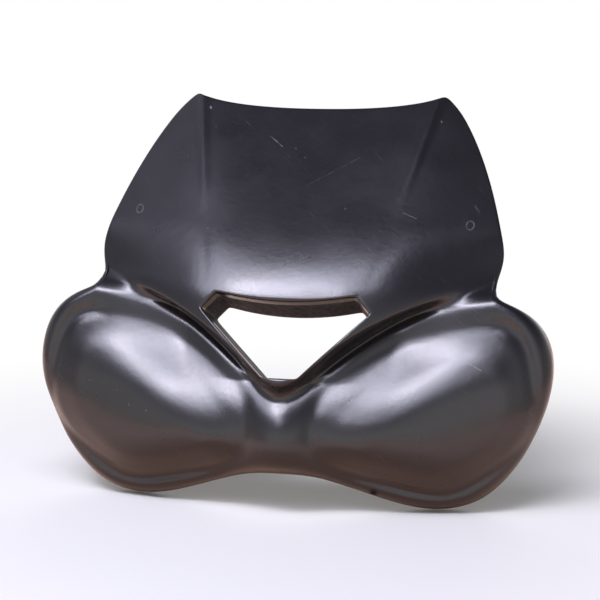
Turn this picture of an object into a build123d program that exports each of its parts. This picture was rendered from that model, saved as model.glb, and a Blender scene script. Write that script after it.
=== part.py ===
from build123d import *
import os
from math import cos, cosh, exp, log, radians, sin, sqrt, tan, tanh

# A headlight cowl for a motorbike, moulded as one thin shell with an open back.
# Sizes are in millimetres and angles in degrees. X runs across, Y back and Z up.
# The origin is the centre of the duct opening, on the plane of symmetry.

# Shell, and how much its inner side rounds off the bends of the outer one
wall = 3.0
inner_soften = 6.0

# Outline from the front, by the corners of its guide polygon
top_height = 154.8
corner_half = 100.0
corner_height = 165.5
flank_half = 157.3
flank_height = 54.0
neck_half = 148.5
neck_height = 27.0
lobe_half = 195.5
lobe_side_height = -32.0
lobe_foot_half = 113.0
lobe_foot_height = -132.5
waist_height = -102.5

# Screen above the opening, and the steeper face that the opening is cut in
screen_foot_height = 31.0
screen_foot_depth = 6.0
screen_bend = 10.0
screen_rake = 48.5
face_rake = 19.8
screen_crown = 4.0
crown_start = 20.0
crown_full = 70.0

# Creases between the screen and its flanks
crease_foot_half = 70.0
crease_foot_height = 69.0
crease_inset = 5.5
crease_drop = 4.5
crease_soft_foot = 14.0
crease_soft_top = 2.5
crease_soft_start = -0.1
bead_height = 1.8
bead_width = 7.0
bead_start = 0.1
bead_full = 0.8
flank_turn = 19.8
flank_turn_low = 26.6
flank_low_start = 35.0
flank_low_end = 75.0

# V-shaped brow over the lamp lobes, and the valley behind it
brow_waist_height = -45.5
brow_rise = 80.5
brow_reach = 95.0
brow_round = 16.0
brow_height = 4.0
brow_edge = 4.0
brow_front_width = 8.0
brow_back_width = 5.0
brow_fade_start = 112.0
brow_fade_end = 150.0
brow_fill = 1.0
brow_full_half = 50.0
valley_depth = 5.0
valley_offset = 4.0
valley_width = 6.0
step_waist = 15.0
step_end = 8.0
step_start_half = 40.0
step_end_half = 140.0
step_front = 4.0

# Floor of the lobes: a nose at the waist, swept back to each side and bowed from top to bottom
nose_depth = -28.0
nose_sweep = 38.0
nose_reach = 62.0
nose_round = 14.0
bow_foot_height = -120.0
bow_radius = 220.0
outer_bow_radius = 500.0
outer_set_back = 6.0
outer_start = 100.0
outer_end = 165.0
nose_top_height = -70.0
chin_height = -72.0
chin_radius = 40.0
chin_limit = 15.0
chin_width = 34.0

# Lens dome of each lobe: a soft six-sided field, each side by its direction and reach from the middle
lens_half = 105.0
lens_height = -55.0
lens_sides = ((8.0, 76.6), (75.0, 62.2), (118.0, 51.2), (180.0, 80.0), (254.0, 57.4), (308.0, 62.4))
lens_corner = 9.0
lens_rise = 15.0
lens_edge = 4.0
lens_edge_top = 8.0
lens_top_start = -60.0
lens_top_end = -10.0
groove_depth = 1.6
groove_width = 6.0
groove_offset = 2.5
shoulder_radius = 17.0
shoulder_gap = 4.0
shoulder_soft = 3.0
shoulder_reach = 24.0
shoulder_start_half = 85.0
shoulder_full_half = 130.0
shoulder_start_height = -45.0
shoulder_full_height = 0.0

# Rolled edge: a slight turn along the top and flanks, a full turn and a wall round the lobes
free_roll = 4.0
free_turn = 25.0
lobe_roll = 13.0
lobe_turn = 90.0
roll_start_height = 46.0
roll_end_height = 6.0
lobe_wall = 10.0
shoulder_wall = 1.0
foot_wall = 6.0
shoulder_height = 22.0
side_height = -20.0
foot_height = -130.0
foot_start_height = -60.0

# Duct opening, by the corners of its front edge in its raked plane, and the throat behind it
opening_rake = 23.0
opening_top_half = 51.7
opening_top_rise = 31.4
opening_sag = 6.5
opening_side_half = 63.1
opening_side_rise = 18.9
opening_foot_half = 12.8
opening_foot_drop = 31.5
opening_corner = 3.0
throat_length = 46.0
throat_taper = 2.5
throat_lead = 30.0

# Drilling marks on the flanks
mark_half = 127.9
mark_height = 75.5
mark_diameter = 6.6
mark_line = 0.9
mark_depth = 0.5

# Grid of the skin: the loop that it starts from, its points across and along, and the row on the crest
loop_half = 26.0
loop_height = 13.0
span_points = 2
row_points = 52
crest_row = 0.22
crest_limit = 0.45
crest_halvings = 24


def smooth(start, end, value):
    """Rise from 0 at start to 1 at end with no corner at either."""
    t = min(1.0, max(0.0, (value - start) / (end - start)))
    return t * t * (3 - 2 * t)


def soft_ramp(value, softness):
    """Zero below 0 and the value itself above, rounded over the softness."""
    t = value / softness
    return softness * (max(t, 0.0) + log(1 + exp(-abs(t))))


def soft_size(value, radius):
    """Size of a value, rounded off near zero."""
    return sqrt(value * value + radius * radius) - radius


def screen_depth(x, z):
    """Depth of the raked screen, its face and its flanks."""
    low = tan(radians(face_rake))
    high = tan(radians(screen_rake))
    rise = z - screen_foot_height
    depth = screen_foot_depth + low * rise + (high - low) * soft_ramp(rise, screen_bend)
    crease_top = corner_height - crease_drop
    along = (z - crease_foot_height) / (crease_top - crease_foot_height)
    crease_half = crease_foot_half + (corner_half - crease_inset - crease_foot_half) * along
    soft = crease_soft_foot + (crease_soft_top - crease_soft_foot) * smooth(crease_soft_start, 1.0, along)
    turn = flank_turn_low + (flank_turn - flank_turn_low) * smooth(flank_low_start, flank_low_end, z)
    depth += tan(radians(turn)) * soft_ramp(x - crease_half, soft)
    if x < crease_half:
        depth -= screen_crown * smooth(crown_start, crown_full, z) * (1 - (x / crease_half) ** 2)
    bead = bead_height * smooth(bead_start, bead_full, along)
    return depth - bead * exp(-(((x - crease_half) / bead_width) ** 2))


def brow_distance(x, z):
    """Distance below the crest of the brow, negative above it."""
    run = soft_size(x, brow_round) / brow_reach
    crest = brow_waist_height + brow_rise * tanh(run)
    slope = brow_rise / brow_reach * x / sqrt(x * x + brow_round ** 2) / cosh(run) ** 2
    return (crest - z) / sqrt(1 + slope * slope)


def lobe_depth(x, z):
    """Depth of the floor that the lens domes stand on, with the nose and chin at the waist."""
    outer = smooth(outer_start, outer_end, x)
    radius = bow_radius + (outer_bow_radius - bow_radius) * outer
    depth = nose_depth + nose_sweep * tanh(soft_size(x, nose_round) / nose_reach)
    depth += (z - bow_foot_height) ** 2 / (2 * radius) + outer_set_back * outer
    bend = (max(0.0, z - nose_top_height) ** 2 + max(0.0, chin_height - z) ** 2) / (2 * chin_radius)
    return depth + min(bend, chin_limit) * exp(-((x / chin_width) ** 2))


def lens_inside(x, z):
    """Soft distance inside the edge of the lens dome."""
    total = 0.0
    for direction, reach in lens_sides:
        out = (x - lens_half) * cos(radians(direction)) + (z - lens_height) * sin(radians(direction))
        total += exp((out - reach) / lens_corner)
    return -lens_corner * log(total)


lens_middle = lens_inside(lens_half, lens_height)


def shoulder_depth(x, z, inside):
    """How far the upper outer rim of a lobe rounds back beyond the edge of the lens dome."""
    beyond = soft_ramp(-inside - shoulder_gap, shoulder_soft)
    beyond = shoulder_reach * tanh(beyond / shoulder_reach)
    across = smooth(shoulder_start_half, shoulder_full_half, x)
    up = smooth(shoulder_start_height, shoulder_full_height, z)
    return across * up * beyond ** 2 / (2 * shoulder_radius)


def skin_depth(x, z, crest, soften):
    """Depth of the skin, with the height of its brow and a length that its bends are softened by."""
    below = brow_distance(x, z)
    step = step_waist + (step_end - step_waist) * smooth(step_start_half, step_end_half, x)
    share = smooth(-step - soften, step_front, below)
    inside = lens_inside(x, z)
    lobe = lobe_depth(x, z) + shoulder_depth(x, z, inside)
    depth = screen_depth(x, z) * (1 - share) + lobe * share
    width = brow_front_width if below > 0 else brow_back_width
    rise = smooth(0.0, brow_full_half, x)
    fade = 1 - smooth(brow_fade_start, brow_fade_end, x)
    depth -= crest * rise * fade * exp(-soft_size(below, brow_edge + soften) / width)
    depth += valley_depth * rise * exp(-(((below + valley_offset) / valley_width) ** 2))
    edge = lens_edge + (lens_edge_top - lens_edge) * smooth(lens_top_start, lens_top_end, z)
    hollow = 1 - min(1.0, soft_ramp(inside, edge) / lens_middle)
    depth -= lens_rise * (1 - hollow * hollow)
    return depth + groove_depth * exp(-(((inside + groove_offset) / groove_width) ** 2))


def between(start, end, shares):
    """Guide points between two corners, by their shares of the way across and up."""
    return [
        (start[0] + (end[0] - start[0]) * across, start[1] + (end[1] - start[1]) * up)
        for across, up in shares
    ]


def outline_guide():
    """Guide polygon of the right half of the outline, from the top middle round to the waist."""
    corners = [
        (0.0, top_height),
        (corner_half, corner_height),
        (flank_half, flank_height),
        (neck_half, neck_height),
        (lobe_half, lobe_side_height),
        (lobe_foot_half, lobe_foot_height),
        (0.0, waist_height),
    ]
    shares = [
        [(0.32, 0.04), (0.62, 0.22), (0.84, 0.53), (0.93, 0.79)],
        [(0.13, 0.06), (0.3, 0.15), (0.55, 0.36), (0.76, 0.6), (0.91, 0.83)],
        [(0.26, 0.52)],
        [(0.31, 0.09), (0.69, 0.27), (0.94, 0.59)],
        [(0.06, 0.23), (0.19, 0.5), (0.38, 0.74), (0.63, 0.94)],
        [(0.25, 0.2), (0.47, 0.52), (0.7, 0.85), (0.88, 0.98)],
    ]
    guide = []
    for start, end, inner in zip(corners, corners[1:], shares):
        guide += [start] + between(start, end, inner)
    return guide + [corners[-1]]


def outline_points():
    """Points and inward directions along the half outline, a cubic curve on the guide polygon."""
    guide = outline_guide()
    first = (-guide[1][0], guide[1][1])
    last = (-guide[-2][0], guide[-2][1])
    guide = [first] + guide + [last]
    stations = []
    for span in range(len(guide) - 3):
        steps = span_points + 1 if span == len(guide) - 4 else span_points
        for step in range(steps):
            t = step / span_points
            weights = ((1 - t) ** 3, 3 * t**3 - 6 * t**2 + 4, -3 * t**3 + 3 * t**2 + 3 * t + 1, t**3)
            slopes = (-((1 - t) ** 2), 3 * t**2 - 4 * t, -3 * t**2 + 2 * t + 1, t**2)
            near = guide[span : span + 4]
            x, z = (sum(w * p[i] for w, p in zip(weights, near)) / 6 for i in (0, 1))
            dx, dz = (sum(w * p[i] for w, p in zip(slopes, near)) for i in (0, 1))
            size = sqrt(dx * dx + dz * dz)
            stations.append((x, z, dz / size, -dx / size))
    return stations


def edge_form(z):
    """Roll radius, roll angle and wall behind the edge at a height of the outline."""
    low = 1 - smooth(roll_end_height, roll_start_height, z)
    roll = free_roll + (lobe_roll - free_roll) * low
    turn = free_turn + (lobe_turn - free_turn) * low
    upper = smooth(side_height, shoulder_height, z)
    lower = 1 - smooth(foot_height, foot_start_height, z)
    depth = lobe_wall + (shoulder_wall - lobe_wall) * upper + (foot_wall - lobe_wall) * lower
    return roll, radians(turn), depth * low


def crest_share(start, run):
    """Share of a straight run at which it crosses the crest of the brow, up to a limit."""
    low = 0.0
    high = crest_limit
    for _ in range(crest_halvings):
        middle = (low + high) / 2
        if brow_distance(abs(start[0] + run[0] * middle), start[1] + run[1] * middle) < 0:
            low = middle
        else:
            high = middle
    return high


def skin_column(station, crest, soften):
    """Points of the skin from the loop in the opening out to the rear edge, at one outline station."""
    x, z, inward_x, inward_z = station
    roll, turn, depth = edge_form(z)
    reach = sqrt(x * x + z * z)
    start_x = loop_half * x / reach
    start_z = loop_height * z / reach
    run_x = x + inward_x * roll - start_x
    run_z = z + inward_z * roll - start_z
    field = sqrt(run_x * run_x + run_z * run_z)
    total = field + roll * turn + depth
    crest_way = field / total * crest_share((start_x, start_z), (run_x, run_z))
    pull = crest_way * (1 - crest_row) / (crest_row * (1 - crest_way))
    points = []
    for row in range(row_points):
        even = row / (row_points - 1)
        way = total * even * pull / (1 + (pull - 1) * even)
        share = min(1.0, way / field)
        angle = min(turn, max(0.0, way - field) / roll)
        back = max(0.0, way - field - roll * turn)
        px = start_x + run_x * share - inward_x * roll * sin(angle)
        pz = start_z + run_z * share - inward_z * roll * sin(angle)
        py = skin_depth(px, pz, crest, soften) + roll * (1 - cos(angle)) + back
        points.append(Vector(px, py, pz))
    return points


def skin_grid(crest, soften):
    """Half skin as columns of points."""
    return [skin_column(station, crest, soften) for station in outline_points()]


def inner_grid(grid):
    """The grid moved into the shell by the wall, square to the skin."""
    result = []
    last = len(grid) - 1
    for i, column in enumerate(grid):
        moved = []
        for j, point in enumerate(column):
            across = column[min(j + 1, len(column) - 1)] - column[max(j - 1, 0)]
            if i in (0, last):
                along = Vector(1 if i == 0 else -1, 0, 0)
            else:
                along = grid[i + 1][j] - grid[i - 1][j]
            moved.append(point - along.cross(across).normalized() * wall)
        result.append(moved)
    return result


def strip(points):
    """Smooth curve through evenly spaced points."""
    steps = len(points) - 1
    return Edge.make_spline(points, parameters=[i / steps for i in range(steps + 1)])


def profile(outer, inner):
    """Closed section of the shell at one station."""
    rim = Edge.make_line(outer[-1], inner[-1])
    loop = Edge.make_line(inner[0], outer[0])
    return Wire([strip(outer), rim, strip(inner[::-1]), loop])


def half_shell():
    """Right half of the moulded shell, lofted round the duct opening."""
    outer = skin_grid(brow_height, 0.0)
    inner = inner_grid(skin_grid(brow_height - brow_fill, inner_soften))
    return Solid.make_loft([profile(a, b) for a, b in zip(outer, inner)])


def opening_face(growth):
    """Outline of the duct opening, grown by a distance, on a plane in front of the skin."""
    side = (opening_side_half, opening_side_rise)
    top = (opening_top_half, opening_top_rise)
    middle = (0.0, opening_top_rise - opening_sag)
    foot = (opening_foot_half, -opening_foot_drop)
    across = [(-x, y) for x, y in (foot, side, top)]
    lines = Polyline(top, side, foot, *across)
    face = make_face(lines + ThreePointArc(across[-1], middle, top))
    face = fillet(face.vertices(), opening_corner)
    tilt = radians(opening_rake)
    forward = Vector(0, -cos(tilt), sin(tilt))
    plane = Plane(forward * throat_lead, x_dir=(1, 0, 0), z_dir=forward)
    return plane * offset(face, growth + throat_lead * tan(radians(throat_taper)))


def throat(growth, length):
    """Tapered plug along the throat, from in front of the skin to a length behind the opening."""
    return extrude(opening_face(growth), -(throat_lead + length), taper=throat_taper)


def duct(half):
    """Right half of the throat's outside, from inside the skin back to its rear edge."""
    faces = half.faces().filter_by(GeomType.BSPLINE).sort_by(SortBy.AREA)
    skin = faces[-1].moved(Location((0, wall / 2, 0)))
    front = Solid.extrude(skin, Vector(0, -3 * throat_lead, 0))
    return split(throat(wall, throat_length), bisect_by=Plane.YZ, keep=Keep.TOP) - front


def drilling_mark():
    """Shallow ring scored on the right flank, square to the skin."""
    step = mark_diameter / 2
    depth = skin_depth(mark_half, mark_height, brow_height, 0.0)
    across = skin_depth(mark_half + step, mark_height, brow_height, 0.0) - depth
    up = skin_depth(mark_half, mark_height + step, brow_height, 0.0) - depth
    outward = Vector(across / step, -1, up / step)
    plane = Plane(Vector(mark_half, depth, mark_height), z_dir=outward)
    ring = Circle(mark_diameter / 2) - Circle(mark_diameter / 2 - mark_line)
    return plane * extrude(ring, mark_depth, both=True)


half = half_shell()
half = half + duct(half) - throat(0.0, throat_length + wall) - drilling_mark()
cowl_shell = half + half.mirror(Plane.YZ)

os.makedirs("parts", exist_ok=True)
export_step(cowl_shell, "parts/cowl_shell.step")
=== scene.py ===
import math

import bpy
import numpy as np
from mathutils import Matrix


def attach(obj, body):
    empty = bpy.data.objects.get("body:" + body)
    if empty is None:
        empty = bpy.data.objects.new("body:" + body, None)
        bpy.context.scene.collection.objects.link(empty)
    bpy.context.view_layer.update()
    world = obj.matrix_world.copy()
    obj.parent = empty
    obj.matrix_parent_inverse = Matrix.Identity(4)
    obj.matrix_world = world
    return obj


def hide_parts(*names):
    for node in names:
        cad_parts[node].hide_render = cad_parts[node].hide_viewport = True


# Frame
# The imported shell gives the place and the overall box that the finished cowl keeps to.
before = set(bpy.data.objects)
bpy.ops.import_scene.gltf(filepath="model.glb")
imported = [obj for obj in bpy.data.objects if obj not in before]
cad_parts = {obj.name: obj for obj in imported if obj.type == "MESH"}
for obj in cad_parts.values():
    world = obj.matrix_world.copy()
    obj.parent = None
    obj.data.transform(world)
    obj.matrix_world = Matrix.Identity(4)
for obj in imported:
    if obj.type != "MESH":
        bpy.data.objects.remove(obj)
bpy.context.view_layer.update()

# Moulded shell
# One thin skin of black glass fibre, laid up in a mould with its polished gel coat to the front.
# Its screen, flanks, duct, brow and lamp lobes are one piece, with an open hollow back.
# Sizes are in millimetres, with X across, Y back and Z up from the middle of the duct opening.
MM = 0.001
WALL = 3.0


def smooth(start, end, value):
    """Soft step from 0 to 1 while the value goes from start to end."""
    t = np.clip((value - start) / (end - start), 0.0, 1.0)
    return t * t * (3 - 2 * t)


def blend(first, second, share):
    """The first value at a share of 0, the second at 1, and in line between them."""
    return first + (second - first) * share


def soft_ramp(value, softness):
    """The value where it is positive and 0 where it is negative, with a soft bend between."""
    t = value / softness
    return softness * (np.maximum(t, 0.0) + np.log1p(np.exp(-np.abs(t))))


def soft_size(value, radius):
    """Size of the value, rounded off by a radius near 0."""
    return np.sqrt(value * value + radius * radius) - radius


def ridge(value, width):
    """Rounded ridge of height 1 where the value is 0."""
    return np.exp(-((value / width) ** 2))


def screen_depth(x, z):
    """Raked and crowned screen above the duct, with a bead along the crease to each flank."""
    foot_height, foot_depth, foot_bend = 31.0, 6.0, 10.0
    foot_rake, screen_rake = 0.36, 1.13
    crease_foot, crease_rise = 69.0, 92.0
    crease_half, crease_spread = 70.0, 24.5
    crease_soft, crease_sharp, sharp_shares = 14.0, 2.5, (-0.1, 1.0)
    low_turn, high_turn, turn_heights = 0.5, 0.36, (35.0, 75.0)
    crown, crown_heights = 4.0, (20.0, 70.0)
    bead, bead_width, bead_shares = 2.4, 4.0, (0.0, 0.8)

    depth = foot_depth + foot_rake * (z - foot_height)
    depth = depth + (screen_rake - foot_rake) * soft_ramp(z - foot_height, foot_bend)
    along = (z - crease_foot) / crease_rise
    crease = crease_half + crease_spread * along
    softness = blend(crease_soft, crease_sharp, smooth(*sharp_shares, along))
    turn = blend(low_turn, high_turn, smooth(*turn_heights, z))
    depth = depth + turn * soft_ramp(x - crease, softness)
    depth = depth - crown * smooth(*crown_heights, z) * np.maximum(0.0, 1 - (x / crease) ** 2)
    return depth - bead * smooth(*bead_shares, along) * ridge(x - crease, bead_width)


def brow_distance(x, z):
    """Distance below the crest of the V-shaped brow, negative above it."""
    foot_height, foot_round = -45.5, 16.0
    rise, reach = 80.5, 95.0
    run = soft_size(x, foot_round) / reach
    crest = foot_height + rise * np.tanh(run)
    slope = rise / reach * x / np.sqrt(x * x + foot_round**2) / np.cosh(run) ** 2
    return (crest - z) / np.sqrt(1 + slope * slope)


def lobe_depth(x, z):
    """Floor of the lobes, with the nose and chin at the waist between them."""
    nose_depth, nose_round = -28.0, 14.0
    sweep_back, sweep_reach = 38.0, 62.0
    chin_height, inner_curve, outer_curve = -120.0, 440.0, 1000.0
    outer_widths, outer_back = (76.0, 165.0), 6.0
    nose_foot, nose_top, nose_half = -72.0, -70.0, 34.0
    fall_curve, fall_limit = 80.0, 1200.0

    outer = smooth(*outer_widths, x)
    depth = nose_depth + sweep_back * np.tanh(soft_size(x, nose_round) / sweep_reach)
    depth = depth + (z - chin_height) ** 2 / blend(inner_curve, outer_curve, outer) + outer_back * outer
    fall = np.maximum(0.0, z - nose_top) ** 2 + np.maximum(0.0, nose_foot - z) ** 2
    return depth + np.minimum(fall, fall_limit) / fall_curve * ridge(x, nose_half)


# Sides of the lens form on a lobe: the direction that each faces, in degrees, and its way from the middle.
LENS_MIDDLE = (105.0, -55.0)
LENS_SIDES = ((8, 76.6), (50, 88.0), (100, 55.4), (118, 51.2), (180, 80.0), (254, 57.4), (308, 62.4))
LENS_CORNER = 9.0


def lens_inside(x, z, outer_pace=1.0, outer_reach=0.0):
    """Soft distance inside the edge of the lens, with a pace and a start of its own on the outer sides."""
    total = 0.0
    for direction, reach in LENS_SIDES:
        facing = math.radians(direction)
        beyond = (x - LENS_MIDDLE[0]) * math.cos(facing) + (z - LENS_MIDDLE[1]) * math.sin(facing) - reach
        if direction < 90:
            beyond = outer_pace * (beyond - outer_reach)
        total = total + np.exp(beyond / LENS_CORNER)
    return -LENS_CORNER * np.log(total)


def brow_share(x, below, soften):
    """How far the screen has turned into the lobe, across the crest of the brow."""
    inner_back, outer_back, back_widths = 15.0, 7.0, (40.0, 140.0)
    inner_ahead, outer_ahead, ahead_widths = 4.0, 0.0, (12.0, 40.0)
    straight_widths = (95.0, 125.0)
    back = blend(inner_back, outer_back, smooth(*back_widths, x)) + soften
    ahead = blend(inner_ahead, outer_ahead, smooth(*ahead_widths, x))
    straight = np.clip((below + back) / (back + ahead), 0.0, 1.0)
    return blend(smooth(0.0, 1.0, straight), straight, smooth(*straight_widths, x))


def shoulder_depth(x, z, inside):
    """Fall of the lobe's upper outer corner, beyond the lens."""
    gap, gap_soft, reach, curve = 14.0, 2.0, 24.0, 20.0
    widths, heights = (85.0, 130.0), (-45.0, 0.0)
    beyond = reach * np.tanh(soft_ramp(-inside - gap, gap_soft) / reach)
    return smooth(*widths, x) * smooth(*heights, z) * beyond**2 / curve


def brow_relief(x, below, soften):
    """Sharp crest of the brow less the valley above it, from the middle out to the neck."""
    crest, soft_crest, crest_round = 4.0, 2.5, 0.8
    lower_width, upper_width = 8.0, 1.8
    valley, valley_gap, valley_width = 5.0, 4.0, 5.0
    rise_widths, fade_widths = (0.0, 50.0), (85.0, 128.0)
    strength = smooth(*rise_widths, x) * (1 - smooth(*fade_widths, x))
    width = np.where(below > 0, lower_width, upper_width)
    height = crest if soften == 0.0 else soft_crest
    height = height * np.exp(-soft_size(below, crest_round + soften) / width)
    return strength * (height - valley * ridge(below + valley_gap, valley_width))


def lens_relief(x, z, below, inside):
    """Domed lens, fuller towards its foot, less the groove round it."""
    dome, dome_reach, dome_soft = 22.5, 43.2, 3.0
    outer_pace, outer_reach = 0.32, 26.0
    fill, fill_drops, fill_reaches = 4.6, (24.0, 62.0), (0.0, 20.0)
    groove, upper_groove, groove_gap, groove_width = 2.8, 0.2, 2.5, 4.5
    upper_heights, upper_widths = (-75.0, -25.0), (135.0, 165.0)
    waist_groove, waist_widths = 0.4, (25.0, 60.0)

    ramp = soft_ramp(lens_inside(x, z, outer_pace, outer_reach), dome_soft)
    way = np.minimum(1.0, ramp / dome_reach)
    height = dome * (way - way**3 / 3) + fill * smooth(*fill_drops, below) * smooth(*fill_reaches, inside)
    upper = smooth(*upper_heights, z) * (1 - smooth(*upper_widths, x))
    depth = blend(groove, upper_groove, upper) * blend(waist_groove, 1.0, smooth(*waist_widths, x))
    return height - depth * ridge(inside + groove_gap, groove_width)


def skin_depth(x, z, soften=0.0):
    """Depth of the front of the shell at a place seen from the front, by width and height."""
    x = np.abs(x)
    below = brow_distance(x, z)
    inside = lens_inside(x, z)
    lobe = lobe_depth(x, z) + shoulder_depth(x, z, inside)
    depth = blend(screen_depth(x, z), lobe, brow_share(x, below, soften))
    return depth - brow_relief(x, below, soften) - lens_relief(x, z, below, inside)


# The outline is a cubic curve on a guide polygon. Between its corners the guide has more points,
# each as a share of the way across and a share of the way up to the next corner.
STATIONS = 220
OUTLINE_CORNERS = [
    (0.0, 154.8),
    (100.0, 165.5),
    (157.3, 54.0),
    (148.5, 27.0),
    (195.5, -32.0),
    (113.0, -132.5),
    (0.0, -102.5),
]
OUTLINE_SHARES = [
    [(0.32, 0.04), (0.62, 0.22), (0.84, 0.53), (0.93, 0.79)],
    [(0.13, 0.06), (0.3, 0.15), (0.55, 0.36), (0.76, 0.6), (0.91, 0.83)],
    [(0.26, 0.52)],
    [(0.31, 0.09), (0.69, 0.27), (0.94, 0.59)],
    [(0.06, 0.23), (0.19, 0.5), (0.38, 0.74), (0.63, 0.94)],
    [(0.25, 0.2), (0.47, 0.52), (0.7, 0.85), (0.88, 0.98)],
]
MIRROR = np.array([-1.0, 1.0])


def half_outline(count):
    """Evenly spaced points and inward directions on the right half of the outline."""
    span_steps = 60
    guide = []
    for start, end, shares in zip(OUTLINE_CORNERS, OUTLINE_CORNERS[1:], OUTLINE_SHARES):
        start, end = np.array(start), np.array(end)
        guide += [start] + [blend(start, end, np.array(share)) for share in shares]
    guide.append(np.array(OUTLINE_CORNERS[-1]))
    guide = np.array([guide[1] * MIRROR] + guide + [guide[-2] * MIRROR])
    t = np.linspace(0, 1, span_steps, endpoint=False)[:, None]
    weights = ((1 - t) ** 3, 3 * t**3 - 6 * t**2 + 4, -3 * t**3 + 3 * t**2 + 3 * t + 1, t**3)
    curve = []
    for span in range(len(guide) - 3):
        curve.append(sum(weight * guide[span + i] for i, weight in enumerate(weights)) / 6)
    curve = np.vstack(curve + [(guide[-3] + 4 * guide[-2] + guide[-1])[None] / 6])
    length = np.append(0, np.cumsum(np.linalg.norm(np.diff(curve, axis=0), axis=1)))
    even = np.linspace(0, length[-1], count + 1)
    points = np.stack([np.interp(even, length, curve[:, i]) for i in (0, 1)], 1)
    along = np.gradient(points, axis=0)
    along[[0, -1], 1] = 0.0
    along /= np.linalg.norm(along, axis=1)[:, None]
    return points, np.stack([along[:, 1], -along[:, 0]], 1)


def full_outline(count):
    """The whole outline as one loop, down the right half and back up the left one."""
    return [np.vstack([half, half[-2:0:-1] * MIRROR]) for half in half_outline(count)]


outline, inward = full_outline(STATIONS)

# The duct opening is a rounded six-sided hole in a plane raked by 23 degrees, with its top edge sagging.
# Its throat runs back square to that plane and narrows a little.
DUCT_RAKE = math.radians(23.0)
DUCT_AXIS = np.array([0.0, math.cos(DUCT_RAKE), -math.sin(DUCT_RAKE)])
DUCT_UP = np.array([0.0, math.sin(DUCT_RAKE), math.cos(DUCT_RAKE)])
DUCT_CORNERS = [(51.7, 31.4), (63.1, 18.9), (12.8, -31.5), (-12.8, -31.5), (-63.1, 18.9), (-51.7, 31.4)]
DUCT_SAG = 6.5
THROAT = 46.0
TAPER = math.tan(math.radians(2.5))


def duct_radius(angle, growth):
    """Distance from the middle of the duct to its edge, at an angle in its plane."""
    corner_power, least_facing, far, top_start = 40.0, 1e-3, 1e3, 0.3
    across, up = np.cos(angle), np.sin(angle)
    total = 0.0
    for (x0, z0), (x1, z1) in zip(DUCT_CORNERS, DUCT_CORNERS[1:]):
        out_x, out_z = z0 - z1, x1 - x0
        size = math.hypot(out_x, out_z)
        reach = (x0 * out_x + z0 * out_z) / size + growth
        facing = (across * out_x + up * out_z) / size
        total = total + (np.maximum(facing, least_facing) / reach) ** corner_power
    half, top = DUCT_CORNERS[0]
    sag_radius = (half**2 + DUCT_SAG**2) / (2 * DUCT_SAG)
    sag_middle = top - DUCT_SAG + sag_radius
    room = (sag_radius - growth) ** 2 - (sag_middle * across) ** 2
    sag = sag_middle * up - np.sqrt(np.maximum(room, 0.0))
    reach = np.where((up > top_start) & (room > 0), sag, far)
    return (total + reach**-corner_power) ** (-1 / corner_power)


def duct_ring(angle, growth, way):
    """Points round the throat at a way along its axis."""
    radius = duct_radius(angle, growth - way * TAPER)
    across = np.outer(radius * np.cos(angle), [1.0, 0.0, 0.0])
    up = np.outer(radius * np.sin(angle), DUCT_UP)
    return across + up + np.outer(way * np.ones_like(angle), DUCT_AXIS)


def duct_edge(angle, growth, soften=0.0):
    """Where the throat meets the skin: its way along the axis and the points there."""
    rounds, pace = 30, 0.6
    way = np.zeros_like(angle)
    for _ in range(rounds):
        ring = duct_ring(angle, growth, way)
        way = way + pace * (skin_depth(ring[:, 0], ring[:, 2], soften) - ring[:, 1])
    return way, ring


def edge_form(z):
    """Roll radius, roll angle and wall behind the edge, by the height of the outline."""
    free_roll, lobe_roll, shoulder_loss = 4.0, 13.0, 0.6
    free_turn, lobe_turn = 25.0, 90.0
    free_wall, lobe_wall, shoulder_cut, foot_cut = 0.4, 10.0, 9.0, 4.0
    lobe_heights, shoulder_heights, foot_heights = (6.0, 46.0), (-20.0, 22.0), (-130.0, -60.0)
    low = 1 - smooth(*lobe_heights, z)
    shoulder = smooth(*shoulder_heights, z)
    foot = 1 - smooth(*foot_heights, z)
    roll = free_roll + (lobe_roll - free_roll) * low * (1 - shoulder_loss * shoulder)
    wall = free_wall + (lobe_wall - shoulder_cut * shoulder - foot_cut * foot) * low
    return roll, np.radians(blend(free_turn, lobe_turn, low)), wall


def crest_share(start, end):
    """How far along each line across the skin the crest of the brow lies, so that one row follows it."""
    steps, least, most, evenings = 400, 0.05, 0.6, 6
    shares = np.linspace(0, 1, steps)
    flat = blend(start[None], end[None], shares[:, None, None])
    below = brow_distance(np.abs(flat[:, :, 0]), flat[:, :, 1])
    found = np.where(below.max(0) > 0, shares[np.argmax(below > 0, axis=0)], 1.0)
    found = np.clip(found, least, most)
    for _ in range(evenings):
        found = (np.roll(found, 1) + found + np.roll(found, -1)) / 3
    return found


def on_skin(flat, behind, soften):
    """Points at places seen from the front, on the skin or a way behind it."""
    return np.stack([flat[:, 0], skin_depth(flat[:, 0], flat[:, 1], soften) + behind, flat[:, 1]], 1)


def skin_rows(start, rows, soften):
    """Rows of the skin from the duct over the crest and the rolled edge to the rear rim."""
    crest_row, roll_rows, wall_rows = 0.4, 12, 5
    roll, turn, wall = edge_form(outline[:, 1])
    end = outline + inward * roll[:, None]
    crest = crest_share(start, end)
    result = []
    for row in np.linspace(0, 1, rows):
        above = crest * row / crest_row
        under = crest + (1 - crest) * (row - crest_row) / (1 - crest_row)
        share = above if row < crest_row else under
        result.append(on_skin(blend(start, end, share[:, None]), 0.0, soften))
    for share in np.linspace(0, 1, roll_rows + 1)[1:]:
        angle = turn * share
        flat = end - inward * (roll * np.sin(angle))[:, None]
        result.append(on_skin(flat, roll * (1 - np.cos(angle)), soften))
    rolled = result[-1]
    for share in np.linspace(0, 1, wall_rows + 1)[1:]:
        result.append(rolled + np.outer(wall * share, [0, 1, 0]))
    return np.array(result)


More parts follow.
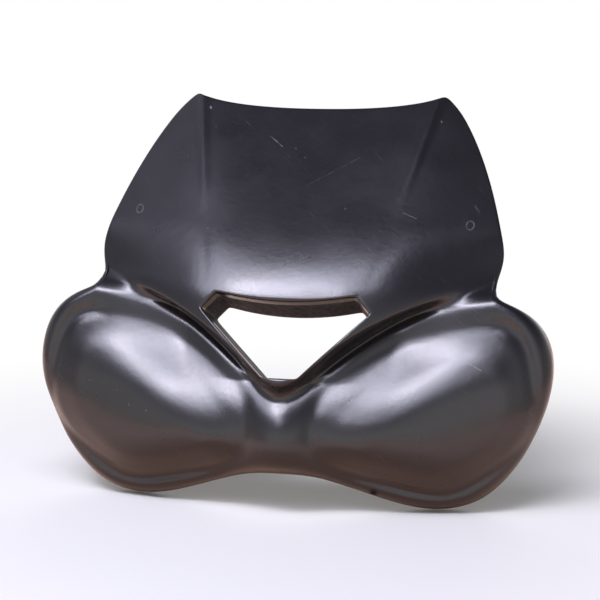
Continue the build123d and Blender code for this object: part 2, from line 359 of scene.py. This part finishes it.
def pushed_in(rows, depth):
    """The rows moved into the shell, square to the skin."""
    across = np.gradient(rows, axis=0)
    along = np.roll(rows, -1, axis=1) - np.roll(rows, 1, axis=1)
    normal = np.cross(along, across)
    return rows - depth * normal / np.linalg.norm(normal, axis=2)[:, :, None]


def shell_rows():
    """Loop of rows round the shell's section: throat, lip, front, rim, back and the throat's outside."""
    lip, back_lip, outside_gap, rim_round = 2.5, 3.0, 5.0, 0.7
    back_soften = 2 * WALL
    throat_rows, lip_rows, front_rows, rim_rows, back_rows, outside_rows = 12, 6, 118, 4, 40, 8
    angle = np.arctan2(outline[:, 1], outline[:, 0])
    way, edge = duct_edge(angle, 0.0)
    spoke = outline - edge[:, [0, 2]]
    spoke /= np.linalg.norm(spoke, axis=1)[:, None]

    front = skin_rows(edge[:, [0, 2]] + spoke * lip, front_rows, 0.0)
    throat_end = duct_ring(angle, 0.0, THROAT)
    throat_front = duct_ring(angle, 0.0, way + lip)
    throat = [blend(throat_end, throat_front, share) for share in np.linspace(0, 1, throat_rows)]
    rounded = []
    for t in np.linspace(0, 1, lip_rows + 2)[1:-1]:
        rounded.append(throat_front * (1 - t) ** 2 + edge * 2 * t * (1 - t) + front[0] * t**2)

    back_way, back_edge = duct_edge(angle, WALL, back_soften)
    back = skin_rows(back_edge[:, [0, 2]] + spoke * back_lip, back_rows, back_soften)
    back = pushed_in(back, WALL)
    rim_middle = (front[-1] + back[-1]) / 2
    rim_side = (front[-1] - back[-1]) / 2
    rim_out = front[-1] - front[-2]
    rim_out = rim_round * rim_out / np.linalg.norm(rim_out, axis=1)[:, None]
    rim = []
    for turn in np.linspace(0, math.pi, rim_rows + 2)[1:-1]:
        rim.append(rim_middle + rim_side * math.cos(turn) + rim_out * math.sin(turn))

    outside_front = duct_ring(angle, WALL, back_way + outside_gap)
    outside_end = duct_ring(angle, WALL, THROAT)
    outside = [blend(outside_front, outside_end, share) for share in np.linspace(0, 1, outside_rows)]
    coated = throat + rounded + list(front) + rim
    return np.array(coated + list(back[::-1]) + outside), len(coated)


def shell_mesh(name):
    """The rows joined to a closed mesh, coated in front and bare behind and deep in the throat."""
    bare_throat_rows = 9
    rows, coated_rows = shell_rows()
    count, stations = rows.shape[:2]
    index = np.arange(count * stations).reshape(count, stations)
    beside = np.roll(index, -1, axis=1)
    faces = np.stack([index, beside, np.roll(beside, -1, axis=0), np.roll(index, -1, axis=0)], 2)
    faces = faces.reshape(-1, 4)
    points = rows.reshape(-1, 3) * MM
    corners = [points[faces[:, i]] for i in range(4)]
    volume = sum((corners[0] * np.cross(corners[i], corners[i + 1])).sum() for i in (1, 2))
    if volume < 0:
        faces = faces[:, ::-1]
    mesh = bpy.data.meshes.new(name)
    mesh.from_pydata(points.tolist(), [], faces.tolist())
    row = np.arange(len(faces)) // stations
    bare = (row >= coated_rows) | (row < bare_throat_rows)
    mesh.polygons.foreach_set("material_index", bare.astype(np.int32))
    mesh.shade_smooth()
    mesh.update()
    return mesh


def linear(code):
    """Linear colour of an sRGB hex value."""
    parts = [int(code[i : i + 2], 16) / 255 for i in (1, 3, 5)]
    return [p / 12.92 if p <= 0.04045 else ((p + 0.055) / 1.055) ** 2.4 for p in parts] + [1.0]


def node(tree, kind, settings=None, **inputs):
    """Add a shader node with its settings, and set its inputs or link those that are given as sockets.

    An input goes by its name, or as i and its number. The colours of a colour mix are i6 and i7.
    """
    made = tree.nodes.new("ShaderNode" + kind)
    for key, value in (settings or {}).items():
        setattr(made, key, value)
    for key, value in inputs.items():
        numbered = key[0] == "i" and key[1:].isdigit()
        socket = made.inputs[int(key[1:]) if numbered else key.replace("_", " ")]
        if isinstance(value, bpy.types.NodeSocket):
            tree.links.new(value, socket)
        else:
            socket.default_value = value
    return made


# Wear of the gel coat: two rings scored for drilling, scratches, hairlines from wiping and specks of dust.
# It shows as dull pale grey on the shine, broken up by the peel.
# Rings and scratches are placed as seen from the front, each scratch by its ends, width and strength.
def wear(tree, place, flat, peel):
    rings = [(-127.5, 79.0), (128.3, 74.0)]
    ring_radius, ring_half_line, ring_strength = 2.8, 0.4, 0.3
    scratches = [
        (-32.0, 133.0, -21.0, 126.0, 0.5, 0.4),
        (-10.5, 125.0, -9.7, 124.6, 0.6, 0.4),
        (-2.0, 119.0, -1.5, 118.6, 0.6, 0.4),
        (3.5, 100.0, 40.5, 119.5, 0.35, 0.12),
        (35.5, 85.5, 36.0, 85.3, 0.6, 0.4),
        (78.5, 83.0, 89.0, 79.0, 0.4, 0.3),
        (-86.0, 153.0, -85.4, 152.0, 0.9, 0.5),
        (98.5, 145.0, 98.7, 144.5, 0.7, 0.5),
        (-67.0, 69.5, -66.7, 69.3, 0.6, 0.35),
        (130.5, 86.5, 134.0, 82.5, 1.0, 0.1),
        (135.5, -18.5, 144.0, -22.5, 0.5, 0.35),
        (-148.0, 3.5, -147.0, 2.5, 0.5, 0.35),
        (-137.5, -15.0, -136.7, -15.8, 0.5, 0.35),
        (-146.5, -24.5, -146.0, -25.0, 0.5, 0.35),
        (-149.0, -42.0, -148.6, -42.4, 0.5, 0.35),
        (-116.0, -56.5, -115.2, -57.2, 0.5, 0.35),
    ]
    scratch_core = 0.4
    hair_length, hair_width, hair_turn, hair_strength = 28.0, 0.7, 0.7, 0.1
    dust_spacing, speck_radius, speck_core, speck_strength = 22.22, 0.533, 0.311, 0.4

    worn = 0.0
    for x, z in rings:
        middle = (x * MM, 0.0, z * MM)
        away = node(tree, "VectorMath", {"operation": "DISTANCE"}, i0=flat, i1=middle).outputs["Value"]
        line = node(
            tree, "Math", {"operation": "COMPARE"}, i0=away, i1=ring_radius * MM, i2=ring_half_line * MM
        )
        mark = node(tree, "Math", {"operation": "MULTIPLY"}, i0=line.outputs[0], i1=ring_strength)
        worn = node(tree, "Math", {"operation": "MAXIMUM"}, i0=mark.outputs[0], i1=worn).outputs[0]
    for x0, z0, x1, z1, width, strength in scratches:
        start = np.array([x0, 0.0, z0]) * MM
        run = np.array([x1, 0.0, z1]) * MM - start
        per_run = (run / (run @ run)).tolist()
        ahead = node(tree, "VectorMath", {"operation": "SUBTRACT"}, i0=flat, i1=start.tolist())
        along = node(tree, "VectorMath", {"operation": "DOT_PRODUCT"}, i0=ahead.outputs[0], i1=per_run)
        part = node(tree, "Clamp", None, Value=along.outputs["Value"])
        near = node(
            tree, "VectorMath", {"operation": "MULTIPLY_ADD"},
            i0=part.outputs[0], i1=run.tolist(), i2=start.tolist(),
        )
        away = node(tree, "VectorMath", {"operation": "DISTANCE"}, i0=flat, i1=near.outputs[0])
        mark = node(
            tree, "MapRange", None, Value=away.outputs["Value"],
            From_Min=width * MM, From_Max=scratch_core * width * MM, To_Min=0.0, To_Max=strength,
        )
        worn = node(tree, "Math", {"operation": "MAXIMUM"}, i0=mark.outputs[0], i1=worn).outputs[0]
    broken = node(
        tree, "MapRange", None, Value=peel.outputs["Fac"],
        From_Min=0.35, From_Max=0.6, To_Min=0.15, To_Max=0.9,
    )
    worn = node(tree, "Math", {"operation": "MULTIPLY"}, i0=worn, i1=broken.outputs[0]).outputs[0]

    hair_scale = (hair_length * MM, hair_length * MM, hair_width * MM)
    drawn = node(
        tree, "Mapping", {"vector_type": "TEXTURE"},
        Vector=place, Rotation=(0.0, hair_turn, 0.0), Scale=hair_scale,
    )
    hair = node(tree, "TexNoise", None, Vector=drawn.outputs[0], Scale=1.0, Detail=2.0)
    line = node(
        tree, "MapRange", None, Value=hair.outputs["Fac"],
        From_Min=0.7, From_Max=0.78, To_Min=0.0, To_Max=hair_strength,
    )
    worn = node(tree, "Math", {"operation": "MAXIMUM"}, i0=line.outputs[0], i1=worn).outputs[0]
    dust = node(tree, "TexVoronoi", None, Vector=place, Scale=1 / (dust_spacing * MM))
    speck = node(
        tree, "MapRange", None, Value=dust.outputs["Distance"],
        From_Min=speck_radius / dust_spacing, From_Max=speck_core / dust_spacing,
        To_Min=0.0, To_Max=speck_strength,
    )
    return node(tree, "Math", {"operation": "MAXIMUM"}, i0=speck.outputs[0], i1=worn).outputs[0]


# Polished black gel coat: tinted polyester moulded against a waxed mould, so it is glossy with a faint peel.
# Clouds of 36 mm vary its tone and gloss, waves of 45 mm and a peel of 4.5 mm bend the reflections a little.
# Near the lower edge a small chip has lost its shine.
def gel_coat():
    cloud_size, wave_size, peel_size, grain_size = 35.7, 45.45, 4.545, 1.111
    wave_height, peel_height, shake = 1.2, 0.3, 0.6
    chip_place, chip_core, chip_edge = (68.4 * MM, 0.0, -115.5 * MM), 1.4, 4.6
    black, soft_black, worn_grey = linear("#0f0e12"), linear("#17151a"), linear("#a3a0a6")
    material = bpy.data.materials.new("black_gel_coat")
    material.use_nodes = True
    tree = material.node_tree
    tree.nodes.clear()
    place = node(tree, "TexCoord").outputs["Object"]
    cloud = node(tree, "TexNoise", None, Vector=place, Scale=1 / (cloud_size * MM), Detail=3.0, Roughness=0.5)
    wave = node(tree, "TexNoise", None, Vector=place, Scale=1 / (wave_size * MM), Detail=1.0)
    peel = node(tree, "TexNoise", None, Vector=place, Scale=1 / (peel_size * MM), Detail=2.0)
    grain = node(tree, "TexNoise", None, Vector=place, Scale=1 / (grain_size * MM), Detail=2.0)

    front = node(tree, "VectorMath", {"operation": "MULTIPLY"}, i0=place, i1=(1.0, 0.0, 1.0))
    flat = node(
        tree, "VectorMath", {"operation": "MULTIPLY_ADD"},
        i0=grain.outputs["Color"], i1=(shake * MM, 0.0, shake * MM), i2=front.outputs[0],
    ).outputs[0]
    worn = wear(tree, place, flat, peel)
    chip = node(tree, "VectorMath", {"operation": "DISTANCE"}, i0=flat, i1=chip_place)
    whole = node(
        tree, "MapRange", None, Value=chip.outputs["Value"],
        From_Min=chip_core * MM, From_Max=chip_edge * MM, To_Min=0.1, To_Max=1.0,
    )

    tone = node(tree, "Mix", {"data_type": "RGBA"}, i0=cloud.outputs["Fac"], i6=black, i7=soft_black)
    colour = node(tree, "Mix", {"data_type": "RGBA"}, i0=worn, i6=tone.outputs[2], i7=worn_grey)
    haze = node(
        tree, "MapRange", None, Value=cloud.outputs["Fac"],
        From_Min=0.3, From_Max=0.7, To_Min=0.26, To_Max=0.33,
    )
    rough = node(tree, "Math", {"operation": "MULTIPLY_ADD"}, i0=worn, i1=0.3, i2=haze.outputs[0])
    shine = node(tree, "Math", {"operation": "SUBTRACT"}, i0=whole.outputs[0], i1=worn)
    gloss = node(
        tree, "MapRange", None, Value=grain.outputs["Fac"],
        From_Min=0.3, From_Max=0.7, To_Min=0.18, To_Max=0.27,
    )
    dip = node(tree, "Math", {"operation": "MULTIPLY"}, i0=whole.outputs[0], i1=0.5)
    low = node(tree, "Bump", None, Height=wave.outputs["Fac"], Strength=0.4, Distance=wave_height * MM)
    bump = node(
        tree, "Bump", None,
        Height=peel.outputs["Fac"], Strength=0.2, Distance=peel_height * MM, Normal=low.outputs["Normal"],
    )
    shader = node(
        tree, "BsdfPrincipled", None, Base_Color=colour.outputs[2], Roughness=rough.outputs[0], IOR=1.5,
        Specular_IOR_Level=dip.outputs[0], Coat_Weight=shine.outputs[0], Coat_Roughness=gloss.outputs[0],
        Normal=bump.outputs["Normal"], Coat_Normal=bump.outputs["Normal"],
    )
    node(tree, "OutputMaterial", None, Surface=shader.outputs[0])
    return material


# Bare back of the laminate: chopped glass mat under black resin, rolled by hand, half matt and uneven.
# Strands 30 mm long and about 1 mm wide lie in three directions, as pale threads that stand up a little.
def laminate():
    resin_size, resin_height = 6.25, 0.6
    strand_length, strand_depth, strand_width, strand_height = 30.0, 16.0, 1.3, 0.4
    strand_turns = (0.3, 1.35, 2.4)
    resin_black, strand_grey = linear("#2c2e34"), linear("#4e5158")
    material = bpy.data.materials.new("black_laminate")
    material.use_nodes = True
    tree = material.node_tree
    tree.nodes.clear()
    place = node(tree, "TexCoord").outputs["Object"]
    resin = node(tree, "TexNoise", None, Vector=place, Scale=1 / (resin_size * MM), Detail=4.0, Roughness=0.6)
    strand_scale = (strand_length * MM, strand_depth * MM, strand_width * MM)
    strands = 0.0
    for turn in strand_turns:
        lie = node(
            tree, "Mapping", {"vector_type": "TEXTURE"},
            Vector=place, Rotation=(0.0, turn, 0.0), Scale=strand_scale,
        )
        thread = node(tree, "TexNoise", None, Vector=lie.outputs[0], Scale=1.0, Detail=1.0)
        most = node(tree, "Math", {"operation": "MAXIMUM"}, i0=thread.outputs["Fac"], i1=strands)
        strands = most.outputs[0]
    raised = node(tree, "MapRange", None, Value=strands, From_Min=0.5, From_Max=0.75)
    tone = node(tree, "Mix", {"data_type": "RGBA"}, i0=raised.outputs[0], i6=resin_black, i7=strand_grey)
    sheen = node(
        tree, "MapRange", None, Value=resin.outputs["Fac"],
        From_Min=0.3, From_Max=0.7, To_Min=0.5, To_Max=0.66,
    )
    low = node(tree, "Bump", None, Height=resin.outputs["Fac"], Strength=0.4, Distance=resin_height * MM)
    bump = node(
        tree, "Bump", None,
        Height=raised.outputs[0], Strength=0.5, Distance=strand_height * MM, Normal=low.outputs["Normal"],
    )
    shader = node(
        tree, "BsdfPrincipled", None, Base_Color=tone.outputs[2], Roughness=sheen.outputs[0], IOR=1.5,
        Specular_IOR_Level=0.3, Normal=bump.outputs["Normal"],
    )
    node(tree, "OutputMaterial", None, Surface=shader.outputs[0])
    return material


shell = bpy.data.objects.new("cowl", shell_mesh("cowl"))
bpy.context.scene.collection.objects.link(shell)
shell.data.materials.append(gel_coat())
shell.data.materials.append(laminate())
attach(shell, "root")
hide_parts("cowl_shell")

# Floor
# A plain pale sweep under the cowl, which takes its soft shadow and runs out into the white behind.
# The camera sees it near white, and the gel coat reflects it as a warm ground, painted darker close to the
# cowl as a painted shadow.
FLOOR_Z, FLOOR_SIZE = -0.1325, 12.0
FADE_START, FADE_END = 0.2, 0.6
PAINTED_SHADE_START, PAINTED_SHADE_END = 0.1, 0.27
bpy.ops.mesh.primitive_plane_add(size=FLOOR_SIZE, location=(0.0, 0.0, FLOOR_Z))
floor = bpy.context.object
floor.name = "floor"
paint = bpy.data.materials.new("pale_floor")
paint.use_nodes = True
sweep = paint.node_tree
sweep.nodes.clear()
seen = node(sweep, "LightPath").outputs["Is Camera Ray"]
spot = node(sweep, "TexCoord").outputs["Object"]
away = node(sweep, "VectorMath", {"operation": "LENGTH"}, i0=spot).outputs["Value"]
far = node(
    sweep, "MapRange", {"interpolation_type": "SMOOTHSTEP"},
    Value=away, From_Min=FADE_START, From_Max=FADE_END,
)
# Seen only in reflections, the floor is painted darker within a short way of the cowl: a painted shadow,
# beside the real one the lamps cast.
painted_shadow_fade = node(
    sweep, "MapRange", {"interpolation_type": "SMOOTHSTEP"},
    Value=away, From_Min=PAINTED_SHADE_START, From_Max=PAINTED_SHADE_END,
)
warm = node(
    sweep, "Mix", {"data_type": "RGBA"},
    i0=painted_shadow_fade.outputs[0], i6=linear("#d6b096"), i7=linear("#ffdfc8"),
)
tint = node(sweep, "Mix", {"data_type": "RGBA"}, i0=seen, i6=warm.outputs[2], i7=linear("#f8f8f0"))
matt = node(
    sweep, "BsdfPrincipled", None, Base_Color=tint.outputs[2], Roughness=0.9, Specular_IOR_Level=0.1
)
white_share = node(sweep, "Math", {"operation": "MULTIPLY"}, i0=far.outputs[0], i1=seen)
white_floor = node(sweep, "Emission", None, Color=linear("#ffffff"), Strength=1.0)
faded = node(
    sweep, "MixShader", None, i0=white_share.outputs[0], i1=matt.outputs[0], i2=white_floor.outputs[0]
)
node(sweep, "OutputMaterial", None, Surface=faded.outputs[0])
floor.data.materials.append(paint)

# Studio light
# A dim room, darker overhead and to the sides, which the camera sees as plain white.
# A wide cool window is high at the front left with a lamp in it, and one is overhead.
# Weaker panels are in the middle and at the left, and one lights the open back.
world = bpy.data.worlds.new("studio")
bpy.context.scene.world = world
world.use_nodes = True
sky = world.node_tree
sky.nodes.clear()
toward = node(sky, "SeparateXYZ", None, Vector=node(sky, "TexCoord").outputs["Generated"])
level = node(
    sky, "MapRange", {"interpolation_type": "SMOOTHSTEP"},
    Value=toward.outputs["Z"], From_Min=0.1, From_Max=0.9, To_Min=0.9, To_Max=0.13,
)
hue = node(
    sky, "Mix", {"data_type": "RGBA"}, i0=level.outputs[0], i6=linear("#c9c8e6"), i7=linear("#ffffff")
)
side = node(sky, "Math", {"operation": "ABSOLUTE"}, i0=toward.outputs["X"])
dim = node(
    sky, "MapRange", {"interpolation_type": "SMOOTHSTEP"},
    Value=side.outputs[0], From_Min=0.4, From_Max=0.95, To_Min=1.0, To_Max=0.45,
)
strength = node(sky, "Math", {"operation": "MULTIPLY"}, i0=level.outputs[0], i1=dim.outputs[0])
room = node(sky, "Background", None, Color=hue.outputs[2], Strength=strength.outputs[0])
white = node(sky, "Background", None, Color=linear("#ffffff"), Strength=1.0)
direct = node(sky, "LightPath").outputs["Is Camera Ray"]
shown = node(sky, "MixShader", None, i0=direct, i1=room.outputs[0], i2=white.outputs[0])
node(sky, "OutputWorld", None, Surface=shown.outputs[0])


def aim(thing, turn, rise, away):
    """Put a lamp or camera at a bearing from the front, an elevation and a distance, facing the cowl."""
    turn, rise = math.radians(turn), math.radians(rise)
    level_away = away * math.cos(rise)
    thing.location = (level_away * math.sin(turn), -level_away * math.cos(turn), away * math.sin(rise))
    thing.rotation_euler = (math.pi / 2 - rise, 0.0, turn)


def panel(name, turn, rise, away, width, height, watts, colour):
    """A soft rectangular lamp that faces the cowl, in degrees, metres and watts."""
    light = bpy.data.lights.new(name, "AREA")
    light.shape = "RECTANGLE"
    light.size, light.size_y = width, height
    light.energy = watts
    light.color = linear(colour)[:3]
    lamp = bpy.data.objects.new(name, light)
    bpy.context.scene.collection.objects.link(lamp)
    aim(lamp, turn, rise, away)


panel("front_window", -34.0, 55.0, 2.2, 1.7, 1.0, 29.0, "#e8e7ff")
panel("upper_window", 6.0, 67.0, 2.2, 1.0, 0.6, 11.0, "#e8e7ff")
panel("left_lamp", -30.0, 55.0, 2.15, 0.6, 0.35, 9.0, "#f4f1ff")
panel("middle_lamp", -3.0, 57.0, 2.15, 0.35, 0.35, 2.0, "#f4f1ff")
panel("lower_window", -3.0, 41.0, 2.2, 0.8, 0.4, 2.4, "#e8e7ff")
panel("left_wall", -100.0, 50.0, 2.2, 1.8, 1.2, 1.8, "#e8e7ff")
panel("back_room", 180.0, 30.0, 2.2, 1.6, 1.0, 8.0, "#fbf6f0")

# Camera
# A long lens from the front, a little to the right and above, as in the photograph.
lens = bpy.data.cameras.new("camera")
camera = bpy.data.objects.new("camera", lens)
bpy.context.scene.collection.objects.link(camera)
aim(camera, turn=11.44, rise=12.0, away=1.3)
lens.sensor_width, lens.lens = 36.0, 107.46
lens.shift_x, lens.shift_y = 0.0308, 0.0597
lens.dof.use_dof = False
bpy.context.scene.camera = camera

# Finish
# Colours go to the picture as they are.
bpy.context.scene.view_settings.view_transform = "Standard"
